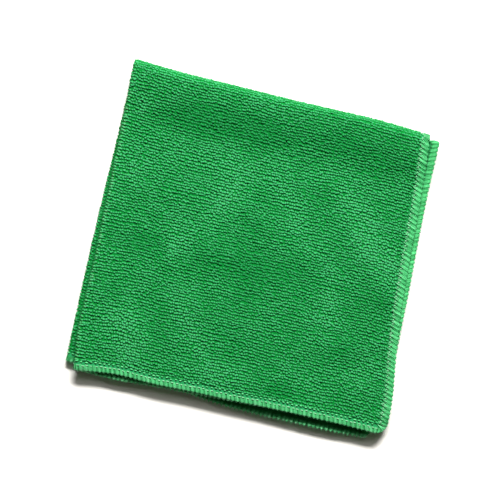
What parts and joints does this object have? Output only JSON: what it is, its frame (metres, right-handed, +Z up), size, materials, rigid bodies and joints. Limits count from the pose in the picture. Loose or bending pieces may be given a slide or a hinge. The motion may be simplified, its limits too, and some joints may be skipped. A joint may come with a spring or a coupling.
{
  "type": "microfibre cloth",
  "caption": "Soft terry cleaning cloth folded in quarters, lying flat, with a thick back fold, two stacked side folds and overlocked hems on the two open sides.",
  "frame": {"origin": "middle of the underside of the folded stack, on the surface that it lies on", "axes": "+Z up through the four layers, +Y towards the back fold, +X towards the hemmed side, -X towards the two side folds"},
  "size_m": [0.2124, 0.2094, 0.012],
  "materials": {
    "green_terry": "short looped pile in rows, matt, with a lighter green overlocked edge"
  },
  "bodies": {
    "root": {"cloth": "green_terry"}
  },
  "joints": []
}
